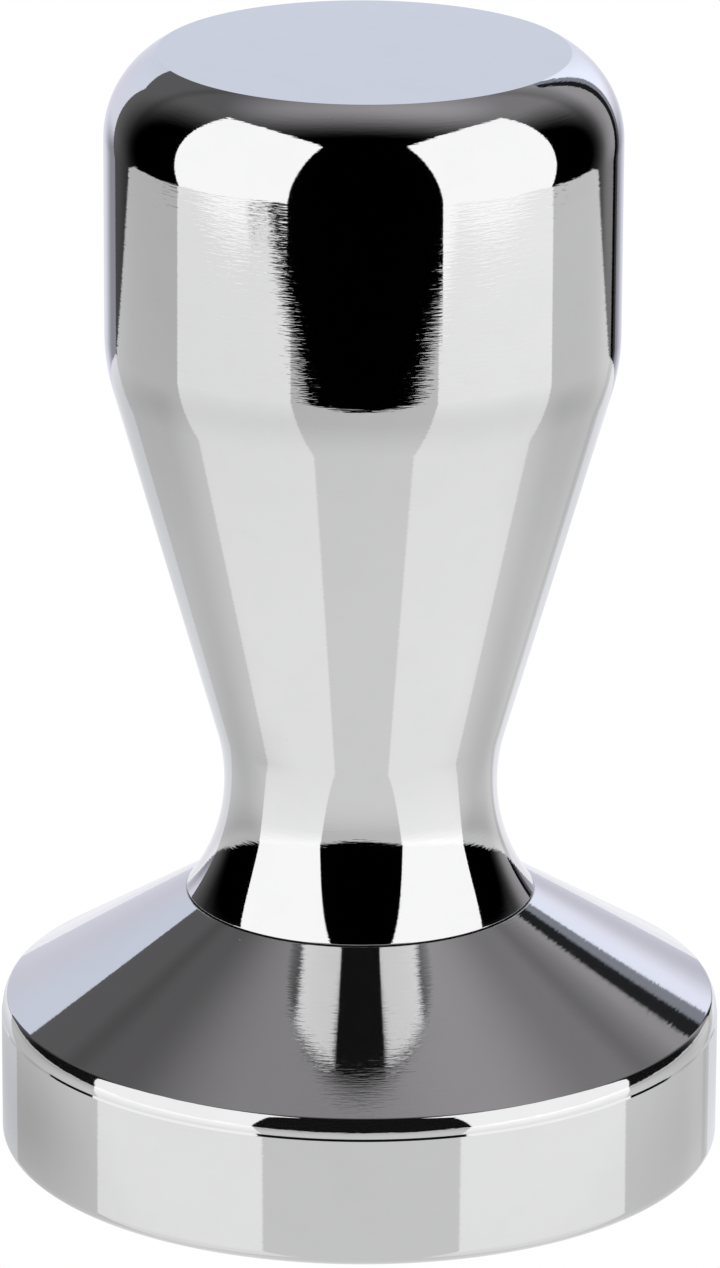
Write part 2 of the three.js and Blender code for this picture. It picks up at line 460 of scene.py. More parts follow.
def use_group(tree, group, place, inputs):
    """Places a node group in a material and returns its outputs."""
    return node(tree, "ShaderNodeGroup", place, inputs, node_tree=group).outputs


FLOAT, VECTOR = "NodeSocketFloat", "NodeSocketVector"


def axis_distance(tree, vector, place):
    """Distance from the Z axis and height, both in metres, of a point in Object space."""
    parts = node(tree, "ShaderNodeSeparateXYZ", place, {"Vector": vector}).outputs
    x, y = place
    across = maths(tree, (x + 180, y), "MULTIPLY", parts["X"], parts["X"])
    deep = maths(tree, (x + 180, y - 160), "MULTIPLY", parts["Y"], parts["Y"])
    both = maths(tree, (x + 360, y), "ADD", across, deep)
    return maths(tree, (x + 540, y), "SQRT", both), parts["Z"], parts


def group_turning_lines():
    """Fine lines left by turning and buffing, which run round the axis.

    Height is noise read at (distance from the axis, height) divided by the spacing, with
    only a slow change round the axis, so that each line fades in and out on its way.
    """
    tree, given, out = new_group(
        "Turning lines",
        [("Vector", VECTOR, None), ("Spacing", FLOAT, 0.16 * MM), ("Fade", FLOAT, 6.0 * MM)],
        [("Height", FLOAT)],
    )
    distance, height, parts = axis_distance(tree, given["Vector"], (-1000, 0))
    fine_r = maths(tree, (-280, 100), "DIVIDE", distance, given["Spacing"])
    fine_z = maths(tree, (-280, -60), "DIVIDE", height, given["Spacing"])
    slow_x = maths(tree, (-280, -220), "DIVIDE", parts["X"], given["Fade"])
    slow_y = maths(tree, (-280, -380), "DIVIDE", parts["Y"], given["Fade"])
    where = node(
        tree, "ShaderNodeCombineXYZ", (-80, 0), {"X": fine_r, "Y": fine_z, "Z": slow_x}
    ).outputs[0]
    lines = node(
        tree,
        "ShaderNodeTexNoise",
        (140, 0),
        {"Vector": where, "W": slow_y, "Scale": 1.0, "Detail": 2.0, "Roughness": 0.6},
        noise_dimensions="4D",
    )
    tree.links.new(lines.outputs["Fac"], out["Height"])
    return tree


def group_buffing_haze():
    """Slow unevenness of a buffed surface: soft waves and a cloudy change of gloss."""
    tree, given, out = new_group(
        "Buffing haze",
        [("Vector", VECTOR, None), ("Wave", FLOAT, 9.0 * MM)],
        [("Height", FLOAT), ("Cloud", FLOAT)],
    )
    inverse = maths(tree, (-700, 0), "DIVIDE", 1.0, given["Wave"])
    waves = node(
        tree,
        "ShaderNodeTexNoise",
        (-400, 150),
        {"Vector": given["Vector"], "Scale": inverse, "Detail": 1.0, "Roughness": 0.4},
    )
    finer = maths(tree, (-700, -200), "MULTIPLY", inverse, 3.1)
    clouds = node(
        tree,
        "ShaderNodeTexNoise",
        (-400, -150),
        {"Vector": given["Vector"], "Scale": finer, "Detail": 4.0, "Roughness": 0.65},
    )
    cloud = spread(tree, (0, -150), clouds.outputs["Fac"], 0.4, 0.75)
    tree.links.new(waves.outputs["Fac"], out["Height"])
    tree.links.new(cloud, out["Cloud"])
    return tree


def group_specks():
    """Scattered specks: small round cells of a Voronoi pattern, kept where chance allows."""
    tree, given, out = new_group(
        "Specks",
        [
            ("Vector", VECTOR, None),
            ("Cell", FLOAT, 2.4 * MM),
            ("Size", FLOAT, 0.03),
            ("Share", FLOAT, 0.25),
        ],
        [("Mask", FLOAT)],
    )
    inverse = maths(tree, (-700, 0), "DIVIDE", 1.0, given["Cell"])
    cells = node(
        tree,
        "ShaderNodeTexVoronoi",
        (-400, 0),
        {"Vector": given["Vector"], "Scale": inverse, "Randomness": 1.0},
    )
    near = maths(tree, (-150, 100), "LESS_THAN", cells.outputs["Distance"], given["Size"])
    red = node(tree, "ShaderNodeSeparateColor", (-150, -100), {"Color": cells.outputs["Color"]})
    chosen = maths(tree, (60, -100), "LESS_THAN", red.outputs["Red"], given["Share"])
    both = maths(tree, (260, 0), "MULTIPLY", near, chosen)
    tree.links.new(both, out["Mask"])
    return tree


def group_zone():
    """Mask of the space nearer the axis than Radius and between two heights."""
    tree, given, out = new_group(
        "Turned zone",
        [
            ("Vector", VECTOR, None),
            ("Radius", FLOAT, 8.0 * MM),
            ("Low", FLOAT, 0.0),
            ("High", FLOAT, 25.0 * MM),
        ],
        [("Mask", FLOAT)],
    )
    distance, height, _ = axis_distance(tree, given["Vector"], (-1000, 0))
    inside = maths(tree, (-200, 100), "LESS_THAN", distance, given["Radius"])
    above = maths(tree, (-200, -60), "GREATER_THAN", height, given["Low"])
    below = maths(tree, (-200, -220), "LESS_THAN", height, given["High"])
    band = maths(tree, (0, -100), "MULTIPLY", above, below)
    both = maths(tree, (200, 0), "MULTIPLY", inside, band)
    tree.links.new(both, out["Mask"])
    return tree


GROUPS = {}


def shared_groups():
    """The shared node groups, built the first time they are asked for."""
    if not GROUPS:
        GROUPS["lines"] = group_turning_lines()
        GROUPS["haze"] = group_buffing_haze()
        GROUPS["specks"] = group_specks()
        GROUPS["zone"] = group_zone()
    return GROUPS


def new_material(name):
    """A material with an empty tree: the tree, its Principled BSDF and Object coordinates."""
    material = bpy.data.materials.new(name)
    material.use_nodes = True
    tree = material.node_tree
    tree.nodes.clear()
    shader = node(tree, "ShaderNodeBsdfPrincipled", (900, 0))
    output = node(tree, "ShaderNodeOutputMaterial", (1200, 0))
    tree.links.new(shader.outputs["BSDF"], output.inputs["Surface"])
    where = node(tree, "ShaderNodeTexCoord", (-1400, 0)).outputs["Object"]
    return material, tree, shader, where


def mixed(tree, place, factor, low, high):
    """A Mix node for colours, from low where factor is 0 to high where it is 1."""
    inputs = {0: factor, 6: low, 7: high}
    return node(tree, "ShaderNodeMix", place, inputs, data_type="RGBA").outputs[2]


def bumped(tree, place, height, distance, before=None):
    """A Bump node of one height, on top of an earlier normal; distance is in metres."""
    inputs = {"Height": height, "Strength": 1.0, "Distance": distance}
    if before is not None:
        inputs["Normal"] = before
    return node(tree, "ShaderNodeBump", place, inputs).outputs["Normal"]


def steel_material(name, finish, bare, metallic, zones):
    """Mirror-polished steel that is left as turned inside the zones.

    bare is the steel's colour and metallic how much of it is bare metal; on the piston both
    are lower, a darker copy of the polished steel that paints shade. zones lists (radius,
    low, high) of the turned places. The polish carries fine turning lines, soft buffing
    waves, a little haze and a few specks of dust.
    """
    groups = shared_groups()
    material, tree, shader, where = new_material(name)
    turned = 0.0
    for index, (radius, low, high) in enumerate(zones):
        mask = use_group(
            tree,
            groups["zone"],
            (-1100, 500 + 220 * index),
            {"Vector": where, "Radius": radius, "Low": low, "High": high},
        )["Mask"]
        turned = maths(tree, (-800, 500 + 220 * index), "MAXIMUM", turned, mask)
    haze = use_group(tree, groups["haze"], (-1100, 200), {"Vector": where, "Wave": 14 * MM})
    specks = use_group(
        tree,
        groups["specks"],
        (-1100, -50),
        {"Vector": where, "Cell": 3.2 * MM, "Size": 0.022, "Share": 0.3},
    )["Mask"]
    fine = use_group(
        tree, groups["lines"], (-1100, -300), {"Vector": where, "Spacing": 0.18 * MM, "Fade": 1.8 * MM}
    )["Height"]
    coarse = use_group(
        tree, groups["lines"], (-1100, -550), {"Vector": where, "Spacing": 0.3 * MM, "Fade": 90 * MM}
    )["Height"]

    dulled = tuple(0.98 * c for c in bare) + (1.0,)
    clean = mixed(tree, (-300, 500), haze["Cloud"], (*bare, 1.0), dulled)
    dusty = mixed(tree, (-100, 500), specks, clean, (0.75, 0.75, 0.76, 1.0))
    colour = mixed(tree, (100, 500), turned, dusty, (*finish.machined, 1.0))
    tree.links.new(colour, shader.inputs["Base Color"])

    hazy = spread(
        tree, (-300, 250), haze["Cloud"], 0.0, 1.0, finish.roughness, finish.roughness + 0.012
    )
    speckled = maths(tree, (-100, 250), "MULTIPLY_ADD", specks, 0.35, hazy)
    rough = spread(tree, (100, 250), turned, 0.0, 1.0, 0.0, 0.24)
    roughness = maths(tree, (300, 250), "ADD", speckled, rough)
    tree.links.new(roughness, shader.inputs["Roughness"])
    shader.inputs["Metallic"].default_value = metallic

    deep = maths(tree, (-100, -550), "MULTIPLY", coarse, turned)
    waves = bumped(tree, (200, -100), haze["Height"], 0.006 * MM)
    lines = bumped(tree, (400, -200), fine, 0.0034 * MM, waves)
    cuts = bumped(tree, (600, -300), deep, 0.02 * MM, lines)
    grit = bumped(tree, (750, -400), specks, 0.004 * MM, cuts)
    tree.links.new(grit, shader.inputs["Normal"])
    return material


def stud_material(finish):
    """Rolled steel thread: satin, darker in the roots, with lines along the helix."""
    groups = shared_groups()
    material, tree, shader, where = new_material("Stud steel")
    haze = use_group(tree, groups["haze"], (-900, 200), {"Vector": where, "Wave": 3 * MM})
    fine = use_group(
        tree, groups["lines"], (-900, -100), {"Vector": where, "Spacing": 0.09 * MM, "Fade": 3 * MM}
    )["Height"]
    distance, _, _ = axis_distance(tree, where, (-1100, 600))
    # Darker towards the thread's roots and lighter towards its crests, by the distance from the axis.
    ridge = spread(tree, (-300, 600), distance, 3.25 * MM, 3.9 * MM)
    root = tuple(0.45 * c for c in finish.stud) + (1.0,)
    crest = tuple(min(1.0, 1.5 * c) for c in finish.stud) + (1.0,)
    root_to_crest_tone = mixed(tree, (0, 500), ridge, root, crest)
    stained = tuple(0.8 * c for c in finish.stud) + (1.0,)
    colour = mixed(
        tree, (250, 400), maths(tree, (0, 250), "MULTIPLY", haze["Cloud"], 0.5), root_to_crest_tone, stained
    )
    tree.links.new(colour, shader.inputs["Base Color"])
    rough = spread(tree, (0, 0), haze["Cloud"], 0.0, 1.0, 0.26, 0.42)
    tree.links.new(rough, shader.inputs["Roughness"])
    shader.inputs["Metallic"].default_value = 1.0
    lines = bumped(tree, (400, -200), fine, 0.004 * MM)
    tree.links.new(lines, shader.inputs["Normal"])
    return material


def rubber_material(finish):
    """Black nitrile rubber: matte, with a fine moulded grain, bloom and a little dust."""
    groups = shared_groups()
    material, tree, shader, where = new_material("Seal rubber")
    haze = use_group(tree, groups["haze"], (-900, 200), {"Vector": where, "Wave": 4 * MM})
    specks = use_group(
        tree,
        groups["specks"],
        (-900, -50),
        {"Vector": where, "Cell": 0.8 * MM, "Size": 0.07, "Share": 0.3},
    )["Mask"]
    grain = node(
        tree, "ShaderNodeTexNoise", (-900, -300), {"Vector": where, "Scale": 9000.0, "Detail": 3.0}
    ).outputs["Fac"]
    bloom = tuple(min(1.0, 2.6 * c) for c in finish.rubber) + (1.0,)
    bloomed = mixed(tree, (0, 300), haze["Cloud"], (*finish.rubber, 1.0), bloom)
    colour = mixed(tree, (250, 300), specks, bloomed, (0.22, 0.22, 0.21, 1.0))
    tree.links.new(colour, shader.inputs["Base Color"])
    rough = spread(tree, (250, 50), grain, 0.3, 0.7, 0.5, 0.72)
    tree.links.new(rough, shader.inputs["Roughness"])
    shader.inputs["Specular IOR Level"].default_value = 0.4
    tree.links.new(bumped(tree, (400, -200), grain, 0.012 * MM), shader.inputs["Normal"])
    return material


def finished(piece, material, body, cad_node):
    """Gives a piece its material and its CAD body, and hides the CAD node that it replaces."""
    piece.data.materials.append(material)
    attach(piece, body)
    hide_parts(cad_node)


# ------------------------------------------------------------------ operators


class TAMPER_OT_studio(bpy.types.Operator):
    """Sets up the camera, the pale table, two soft side panels and the cool backdrop"""

    bl_idname = "tamper.studio"
    bl_label = "Studio"

    def execute(self, context):
        studio = context.scene.tamper_studio
        make_camera(studio)
        make_table(studio)
        left = [(-0.225, -0.07), (-0.225, 0.585), (0.25, 0.575), (0.25, -0.057)]
        left += [(0.19, -0.046), (0.1, -0.044)]
        right = [(-0.247, -0.15), (-0.247, 0.575), (0.235, 0.585), (0.235, -0.15)]
        make_panel("left_panel", studio, -math.radians(61.3), left)
        make_panel("right_panel", studio, math.radians(62.6), right)
        make_backdrop(studio)
        make_room()
        context.scene.view_settings.view_transform = "Standard"
        return {"FINISHED"}


def make_camera(studio):
    """A long lens in front of the tamper, looking down at it."""
    data = bpy.data.cameras.new("camera")
    data.lens = studio.focal_length
    data.sensor_width = 36.0
    data.clip_start = 0.01
    camera = bpy.data.objects.new("camera", data)
    bpy.context.scene.collection.objects.link(camera)
    tilt = Matrix.Rotation(math.pi / 2 - studio.camera_pitch, 4, "X")
    roll = Matrix.Rotation(studio.camera_roll, 4, "Z")
    place = Matrix.Translation(
        (-studio.camera_aside, -studio.camera_distance, studio.camera_height)
    )
    camera.matrix_world = place @ tilt @ roll
    bpy.context.scene.camera = camera


def flat_sheet(name, corners):
    """A flat sheet with these corners, counter-clockwise seen from its face."""
    mesh = bpy.data.meshes.new(name)
    mesh.from_pydata(corners, [], [tuple(range(len(corners)))])
    sheet = bpy.data.objects.new(name, mesh)
    bpy.context.scene.collection.objects.link(sheet)
    return sheet


def times(tree, place, *values):
    """The product of several numbers or sockets."""
    product = values[0]
    for index, value in enumerate(values[1:]):
        product = maths(tree, (place[0] + 160 * index, place[1]), "MULTIPLY", product, value)
    return product


def table_corners(studio):
    """The table's outline: its front corners are cut, and its front edge bows inwards.

    The bow is a bell curve of the distance aside from the axis.
    """
    side, drop = studio.table_half_width, -0.05 * MM
    across = np.linspace(-0.64 * side, 0.64 * side, 19)
    edge = 0.04 * np.exp(-((across / 0.1) ** 2)) - studio.table_front
    front = [(x, y, drop) for x, y in zip(across.tolist(), edge.tolist())]
    cut, back = -0.055, studio.table_back
    return front + [(side, cut, drop), (side, back, drop), (-side, back, drop), (-side, cut, drop)]


def make_table(studio):
    """A white glossy table top, which blends into the plain room for the camera.

    Its glow has the light and shade painted in, and reflections see it under a clear gloss:
    brightest near the tamper, with a painted soft shadow behind it and a painted contact
    shadow, darkest where the wall meets the table. The camera sees the room's own plain
    tone in its place.
    """
    table = flat_sheet("table", table_corners(studio))
    material, tree, shader, where = new_material("Table")
    distance, _, parts = axis_distance(tree, where, (-1400, 0))
    # Painted light: the glow stands for the panels' light on the table, brightest near the axis and a
    # little brighter towards +X.
    fall = spread(tree, (-700, 600), distance, 0.05, 0.15, studio.floor_radiance, 0.74)
    aslant = maths(tree, (-700, 400), "MULTIPLY_ADD", parts["X"], 0.3, 1.0)

    # Painted shadow: the tamper's soft shadow behind it, strongest close by and gone past 0.22 m.
    behind = spread(tree, (-700, 200), parts["Y"], -0.02, 0.03)
    near = spread(tree, (-700, 0), distance, 0.04, 0.09, 0.36, 0.19)
    within = spread(tree, (-700, -200), distance, 0.13, 0.22, 1.0, 0.0)
    shadow = times(tree, (-450, 100), behind, near, within)
    # Painted contact shadow round the foot of the wall at the sides and back, deeper on the left.
    beside = spread(tree, (-700, -400), parts["Y"], -0.03, 0.0)
    close = spread(tree, (-700, -600), distance, 0.031, 0.055, 1.0, 0.0)
    deeper = maths(tree, (-700, -800), "MULTIPLY_ADD", parts["X"], -3.0, 0.3)
    contact = times(tree, (-450, -500), beside, close, deeper)
    clear_of_shadow = maths(tree, (-100, 100), "SUBTRACT", 1.0, shadow)
    clear_of_contact = maths(tree, (-100, -300), "SUBTRACT", 1.0, contact)
    # The table glows with the painted light less both painted shadows.
    lit = times(tree, (100, 300), fall, aslant, clear_of_shadow, clear_of_contact)
    tree.links.new(lit, shader.inputs["Emission Strength"])
    shader.inputs["Emission Color"].default_value = (1.0, 1.0, 1.0, 1.0)
    shader.inputs["Base Color"].default_value = (0.0, 0.0, 0.0, 1.0)
    shader.inputs["Roughness"].default_value = 0.03
    shader.inputs["IOR"].default_value = 2.25
    table.data.materials.append(material)
    table.visible_camera = False


def glowing(name, sheet, colour, strength):
    """Makes a sheet shine, and hides it from the camera."""
    material = bpy.data.materials.new(name)
    material.use_nodes = True
    tree = material.node_tree
    tree.nodes.clear()
    glow = node(tree, "ShaderNodeEmission", (0, 0), {"Color": colour, "Strength": strength})
    output = node(tree, "ShaderNodeOutputMaterial", (200, 0))
    tree.links.new(glow.outputs[0], output.inputs["Surface"])
    sheet.data.materials.append(material)
    sheet.visible_camera = False
    return tree, glow


def make_panel(name, studio, azimuth, outline):
    """A tall soft panel that leans in at its top.

    azimuth is measured from the camera's side of the axis, positive towards +X. outline
    lists the corners as (aside, up) in the panel's own plane, from the point where the
    panel crosses the table's level: aside is anticlockwise seen from above, and up is
    along the lean, which brings the top of a panel to 0.7 of the panel distance.
    """
    distance, lean = studio.panel_distance, 0.3
    ray = Vector((math.sin(azimuth), -math.cos(azimuth), 0.0))
    level = ray * distance
    up = (Vector((0.0, 0.0, 1.1 * distance + 0.088)) - ray * (lean * distance)).normalized()
    aside = Vector((0.0, 0.0, 1.0)).cross(ray)
    corners = [level + aside * u + up * v for u, v in outline]
    panel = flat_sheet(name, corners)
    glowing(name, panel, (1.0, 1.0, 0.995, 1.0), studio.panel_radiance)


def make_backdrop(studio):
    """A cool white sheet behind the table, with a grey band and a dark edge on its right.

    Its light fades below the table's level towards both sides. The camera doesn't see it.
    """
    left, right, low, away = -0.318, 0.303, -0.3, 0.4
    high, rise = 0.37, 0.35
    corners = [
        (right, away, low),
        (left, away, low),
        (left, away, high + rise * left),
        (right, away, high + rise * right),
    ]
    sheet = flat_sheet("backdrop", corners)
    tree, glow = glowing("backdrop", sheet, (1.0, 1.0, 1.0, 1.0), 1.0)
    where = node(tree, "ShaderNodeTexCoord", (-1400, 0)).outputs["Object"]
    parts = node(tree, "ShaderNodeSeparateXYZ", (-1200, 0), {"Vector": where}).outputs
    aside = maths(tree, (-1000, 0), "ABSOLUTE", parts["X"])
    below = spread(tree, (-800, 200), parts["Z"], 0.05, -0.03)
    fade = spread(tree, (-800, 0), aside, 0.13, 0.26, 0.0, 0.62)
    dim = maths(tree, (-550, 100), "MULTIPLY_ADD", times(tree, (-650, 0), below, fade), -1.0, 1.0)
    right_part = spread(tree, (-1000, -200), parts["X"], 0.05, 0.22)
    raised = spread(tree, (-1000, -400), parts["Z"], 0.0, 0.12, -0.32, 0.45)
    gain = maths(tree, (-800, -200), "MULTIPLY_ADD", right_part, raised, 1.0)
    rim = times(tree, (-700, -300), gain, spread(tree, (-1000, -900), parts["X"], -0.1, -0.3, 1.0, 1.12))
    band = spread(tree, (-800, -400), parts["X"], 0.229, 0.235, 1.0, 0.26)
    edge = spread(tree, (-800, -600), parts["X"], 0.258, 0.266, 1.0, 0.05)
    strength = times(tree, (-300, 0), dim, rim, band, edge)
    warm = tuple(c * k for c, k in zip(studio.backdrop, (1.0, 0.94, 0.93)))
    low_part = spread(tree, (-800, -800), parts["Z"], 0.2, 0.05)
    colour = mixed(tree, (-300, 300), low_part, (*studio.backdrop, 1.0), (*warm, 1.0))
    tree.links.new(colour, glow.inputs["Color"])
    tree.links.new(strength, glow.inputs["Strength"])


def make_room():
    """The room in reflections: black ahead and grey behind.

    To the eye it is plain: white beyond the tamper and a pale grey all round behind.

    The grey is a bright ceiling overhead plus a wall behind, paler on the right, that
    ends at the sides and has a darker corner, each a smooth step of the direction's X, Y
    or Z.
    """
    world = bpy.data.worlds.new("Studio")
    bpy.context.scene.world = world
    world.use_nodes = True
    tree = world.node_tree
    tree.nodes.clear()
    direction = node(tree, "ShaderNodeTexCoord", (-1400, 0)).outputs["Generated"]
    parts = node(tree, "ShaderNodeSeparateXYZ", (-1200, 0), {"Vector": direction}).outputs
    ceiling = spread(tree, (-800, 400), parts["Z"], 0.77, 1.0, 0.0, 0.27)
    wall = spread(tree, (-800, 200), parts["X"], -0.2, 0.5, 0.15, 0.29)
    aside = maths(tree, (-1000, 0), "ABSOLUTE", parts["X"])
    ends = spread(tree, (-800, 0), aside, 0.6, 0.88, 1.0, 0.0)
    raised = spread(tree, (-800, -200), parts["Z"], -0.5, -0.1)
    back = times(tree, (-500, 0), wall, ends, raised)
    ahead = spread(tree, (-800, -400), parts["Y"], -0.46, 0.27)
    rise = spread(tree, (-800, -600), parts["Y"], 0.48, 0.55)
    sink = spread(tree, (-800, -800), parts["Y"], 0.55, 0.62, 1.0, 0.0)
    corner = maths(tree, (-400, -600), "MULTIPLY_ADD", times(tree, (-600, -700), rise, sink), -0.22, 1.0)
    right = maths(tree, (-800, -1000), "GREATER_THAN", parts["X"], 0.0)
    window = spread(tree, (-800, -1200), parts["Y"], 0.6, 0.7, 0.0, 0.5)
    lighter = maths(tree, (-400, -900), "MULTIPLY_ADD", right, window, 1.0)
    both = maths(tree, (-250, 200), "ADD", ceiling, back)
    grey = times(tree, (-150, 0), both, ahead, corner, lighter)
    dark = node(tree, "ShaderNodeBackground", (0, 0), {"Color": (1.0, 0.97, 0.995, 1.0), "Strength": grey})
    plain = spread(tree, (-200, -250), parts["Y"], 0.35, 0.7, 0.72, 1.0)
    white = node(
        tree, "ShaderNodeBackground", (0, -200), {"Color": (1.0, 1.0, 1.0, 1.0), "Strength": plain}
    )
    seen = node(tree, "ShaderNodeLightPath", (0, 300)).outputs["Is Camera Ray"]
    choice = node(
        tree, "ShaderNodeMixShader", (250, 0), {0: seen, 1: dark.outputs[0], 2: white.outputs[0]}
    )
    output = node(tree, "ShaderNodeOutputWorld", (450, 0))
    tree.links.new(choice.outputs[0], output.inputs["Surface"])


class TAMPER_OT_base(bpy.types.Operator):
    """Turns the piston: face, wall, shoulder, cone, seat, boss and tapped hole"""

    bl_idname = "tamper.base"
    bl_label = "Base"

    def execute(self, context):
        s, t = context.scene.tamper_base, context.scene.tamper_thread
        edge = s.face_edge
        cone_foot = (s.cone_radius, s.cone_height)
        step = (s.radius - s.step_depth, s.wall_top + s.step_rise)
        crest = t.crest + t.clearance + CREST_GAP
        chamfer = 0.6 * MM
        outside = joined(
            [
                line((0.0, 0.0), (s.radius - edge, 0.0), 8),
                arc((s.radius - edge, edge), edge, -math.pi / 2, 0.0),
                line((s.radius, edge), (s.radius, s.wall_top), 6),
                line((s.radius, s.wall_top), step),
                arc_through(step, 0.0, cone_foot),
                s.cone_round,
                line(cone_foot, (s.seat_radius, s.seat_height), 12),
                line((s.seat_radius, s.seat_height), (s.boss_radius, s.seat_height), 6),
                line((s.boss_radius, s.seat_height), (s.boss_radius, s.boss_top - chamfer), 4),
                line((s.boss_radius, s.boss_top - chamfer), (s.boss_radius - chamfer, s.boss_top)),
                line((s.boss_radius - chamfer, s.boss_top), (crest, s.boss_top), 4),
            ],
            CORNER,
        )
        below = s.boss_top - 0.02 * MM
        wall, height = tapped_rows(t, s.hole_bottom, below, s.boss_top, COLUMNS)
        wall, height = wall[::-1], height[::-1]
        core = t.root + t.clearance
        point = line((core, s.hole_bottom - 0.05 * MM), (0.0, s.hole_bottom - DRILL_POINT), 4)
        radii, heights, normals = stacked(
            plain_rows(outside, COLUMNS),
            (wall, height, shade_normals(wall, height)),
            plain_rows(point, COLUMNS),
        )
        piece = lathe("tamper_base", radii, heights, normals)
        zones = [
            (s.seat_radius - 0.05 * MM, s.seat_height - 0.01 * MM, s.boss_top + MM),
            (s.boss_radius - MM, 2.0 * MM, s.boss_top + MM),
        ]
        finish = context.scene.tamper_finish
        # Painted shade: the piston's darker colour and 0.985 metallic make a shaded copy of the handle's
        # polished steel.
        material = steel_material("Polished piston", finish, finish.piston, 0.985, zones)
        finished(piece, material, "base", "base")
        return {"FINISHED"}


def neck_hollow(s):
    """The hollow of the neck: an arc tangent to the straight taper that ends on the rim."""
    slope = math.atan2(s.barrel_radius - s.taper_radius, s.barrel_bottom - s.taper_bottom)
    down = arc_through(
        (s.taper_radius, s.taper_bottom), -slope, (s.rim_radius, s.rim_height)
    )
    return down[::-1]


class TAMPER_OT_handle(bpy.types.Operator):
    """Turns the handle: palm disc, barrel, taper, flared neck, recess, groove and hole"""

    bl_idname = "tamper.handle"
    bl_label = "Handle"

    def execute(self, context):
        s, t = context.scene.tamper_handle, context.scene.tamper_thread
        groove = RING_HIGH.x + t.groove_slack
        groove_low, groove_high = RING_LOW.z - t.ring_slack, RING_HIGH.z + t.ring_slack
        chamfer = 0.3 * MM
        inner = s.recess_radius
        crest = t.crest + t.clearance + CREST_GAP
        core = t.root + t.clearance
        above = s.recess_roof + 0.02 * MM
        wall, height = tapped_rows(t, above, s.hole_top, s.recess_roof, COLUMNS)
        wall, height = wall[::-1], height[::-1]
        point = line((0.0, s.hole_top + DRILL_POINT), (core, s.hole_top + 0.05 * MM), 4)
        outside = joined(
            [
                line((crest, s.recess_roof), (inner, s.recess_roof), 4),
                line((inner, s.recess_roof), (inner, groove_high), 3),
                line((inner, groove_high), (groove, groove_high), 3),
                line((groove, groove_high), (groove, groove_low), 3),
                line((groove, groove_low), (inner, groove_low), 3),
                line((inner, groove_low), (inner, s.rim_height + chamfer), 3),
                line((inner, s.rim_height + chamfer), (inner + chamfer, s.rim_height)),
                line((inner + chamfer, s.rim_height), (s.rim_radius, s.rim_height), 6),
                neck_hollow(s),
                line((s.taper_radius, s.taper_bottom), (s.barrel_radius, s.barrel_bottom), 16),
                s.barrel_ease,
                line((s.barrel_radius, s.barrel_bottom), (s.barrel_radius, s.barrel_top), 10),
                arc_through((s.barrel_radius, s.barrel_top), 0.0, (s.palm_radius, s.top)),
                line((s.palm_radius, s.top), (0.0, s.top), 10),
            ],
            CORNER,
        )
        radii, heights, normals = stacked(
            plain_rows(point, COLUMNS),
            (wall, height, shade_normals(wall, height)),
            plain_rows(outside, COLUMNS),
        )
        piece = lathe("tamper_handle", radii, heights, normals)
        zones = [
            (s.rim_radius - 0.05 * MM, s.rim_height - MM, s.rim_height + 0.01 * MM),
            (s.recess_radius + 0.2 * MM, s.rim_height - MM, s.hole_top + 3 * MM),
            (groove + 0.1 * MM, groove_low - 0.1 * MM, groove_high + 0.1 * MM),
        ]
        finish = context.scene.tamper_finish
        material = steel_material("Polished handle", finish, finish.polish, 1.0, zones)
        finished(piece, material, "handle", "handle")
        return {"FINISHED"}


class TAMPER_OT_stud(bpy.types.Operator):
    """Rolls the headless M8 stud with its chamfered ends and hexagon socket"""

    bl_idname = "tamper.stud"
    bl_label = "Threaded stud"

    def execute(self, context):
        t = context.scene.tamper_thread
        low, high = STUD_LOW.z, STUD_HIGH.z
        angle = np.arange(STUD_COLUMNS)[None, :] * (2 * np.pi / STUD_COLUMNS)
        ones = np.ones((1, STUD_COLUMNS))
        half_crest = t.pitch / 4 - (t.crest - t.pitch_radius) * FLANK
        rows = 2 + int(round((high - low) / t.pitch * ROWS_PER_PITCH))
        height = np.linspace(low, high, rows)[:, None] * ones
        ridge = thread_ridge(height, angle, t.crest, t.root, half_crest, t.pitch)
        to_end = np.minimum(height - low, high - height)
        radius = np.minimum(ridge, t.crest - t.chamfer + to_end)

        sixth = np.pi / 3
        from_flat = np.mod(angle + sixth / 2, sixth) - sixth / 2
        hexagon = t.socket / 2 / np.cos(from_flat)
        floor = low + t.socket_depth
        drill = 0.9 * t.socket / 2
        point, bevel = 0.9 * MM, 0.25 * MM
        rows_in = [
            (0.0 * ones, (floor + point) * ones),
            (drill * ones, floor * ones),
            (hexagon, floor * ones),
            (hexagon, (floor - MM) * ones),
            (hexagon, (low + bevel) * ones),
            (hexagon + bevel, low * ones),
        ]
        socket_radii = np.vstack([r for r, _ in rows_in])
        socket_heights = np.vstack([z for _, z in rows_in])
        centre = np.zeros((1, STUD_COLUMNS))
        radii = np.vstack([socket_radii, radius, centre])
        heights = np.vstack([socket_heights, height, high * ones])
        piece = lathe("tamper_stud", radii, heights)
        piece.data.set_sharp_from_angle(angle=math.radians(25))
        material = stud_material(context.scene.tamper_finish)
        finished(piece, material, "handle", "threaded_stud")
        return {"FINISHED"}


class TAMPER_OT_ring(bpy.types.Operator):
    """Moulds the rubber ring with its fine parting line"""

    bl_idname = "tamper.ring"
    bl_label = "Rubber ring"

    def execute(self, context):
        section = (RING_HIGH.z - RING_LOW.z) / 2
        middle = RING_HIGH.x - section
        level = (RING_HIGH.z + RING_LOW.z) / 2
        flash = 0.02 * MM
        piece = ring_surface("tamper_o_ring", middle, level, section, flash)
        material = rubber_material(context.scene.tamper_finish)
        finished(piece, material, "ring", "o_ring")
        return {"FINISHED"}


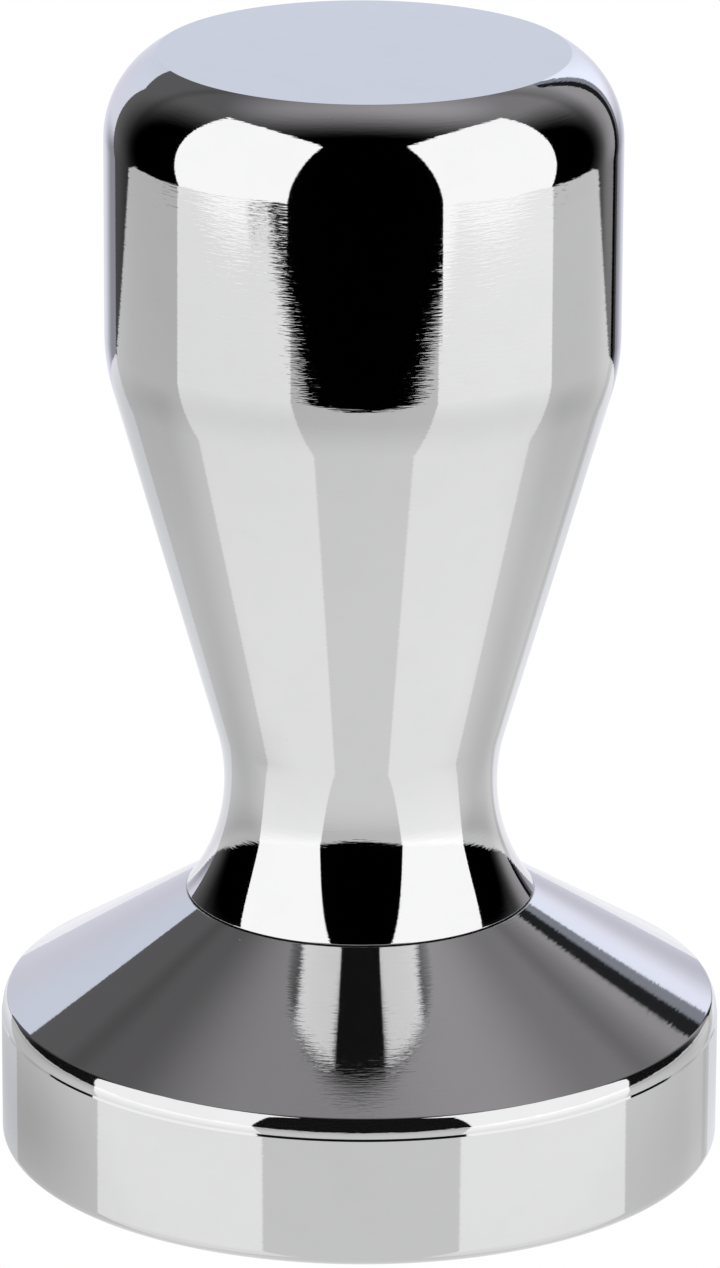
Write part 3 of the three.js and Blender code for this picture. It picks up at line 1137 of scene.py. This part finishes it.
def ring_surface(name, middle, level, section, flash):
    """A torus: (middle + g cos q) round the axis at level + g sin q.

    g is the section's radius, less the flash everywhere but at a narrow bell on the
    inner and outer equators, where the mould's two halves met.
    """
    rows = 48
    q = np.arange(rows) * (2 * np.pi / rows)
    g = section - flash * (1 - np.exp(-((np.sin(q) / 0.09) ** 2)))
    p = np.arange(RING_COLUMNS)[None, :] * (2 * np.pi / RING_COLUMNS)
    out = (middle + g * np.cos(q))[:, None]
    up = (level + g * np.sin(q))[:, None] * np.ones_like(p)
    points = np.stack([out * np.cos(p), out * np.sin(p), up], -1).reshape(-1, 3)
    i = np.arange(rows)[:, None] * RING_COLUMNS
    n = (np.arange(rows)[:, None] + 1) % rows * RING_COLUMNS
    j = np.arange(RING_COLUMNS)[None, :]
    k = (j + 1) % RING_COLUMNS
    faces = np.stack([i + j, i + k, n + k, n + j], -1).reshape(-1, 4)
    mesh = bpy.data.meshes.new(name)
    mesh.from_pydata(points.tolist(), [], faces.tolist())
    mesh.polygons.foreach_set("use_smooth", np.ones(len(faces), bool))
    mesh.update()
    piece = bpy.data.objects.new(name, mesh)
    bpy.context.scene.collection.objects.link(piece)
    return piece


# ------------------------------------------------------------------ panel and add-on


class VIEW3D_PT_tamper(bpy.types.Panel):
    """Lists the tamper's pieces and their settings"""

    bl_label = "Espresso tamper"
    bl_idname = "VIEW3D_PT_tamper"
    bl_space_type = "VIEW_3D"
    bl_region_type = "UI"
    bl_category = "Tamper"

    def draw(self, context):
        for operator in BUILD_ORDER:
            self.layout.operator(operator.bl_idname)
        for name, kind in SETTINGS.items():
            box = self.layout.box()
            box.label(text=kind.__doc__)
            group = getattr(context.scene, name)
            for prop in kind.__annotations__:
                box.prop(group, prop)


SETTINGS = {
    "tamper_base": TamperBaseSettings,
    "tamper_handle": TamperHandleSettings,
    "tamper_thread": TamperThreadSettings,
    "tamper_finish": TamperFinishSettings,
    "tamper_studio": TamperStudioSettings,
}
BUILD_ORDER = (
    TAMPER_OT_studio,
    TAMPER_OT_base,
    TAMPER_OT_handle,
    TAMPER_OT_stud,
    TAMPER_OT_ring,
)
CLASSES = (*SETTINGS.values(), *BUILD_ORDER, VIEW3D_PT_tamper)


def register():
    for kind in CLASSES:
        bpy.utils.register_class(kind)
    for name, kind in SETTINGS.items():
        setattr(bpy.types.Scene, name, PointerProperty(type=kind))


def unregister():
    for name in SETTINGS:
        delattr(bpy.types.Scene, name)
    for kind in reversed(CLASSES):
        bpy.utils.unregister_class(kind)


def main():
    """Builds the studio and every piece."""
    register()
    bpy.ops.tamper.studio()
    bpy.ops.tamper.base()
    bpy.ops.tamper.handle()
    bpy.ops.tamper.stud()
    bpy.ops.tamper.ring()


if __name__ == "__main__":
    main()
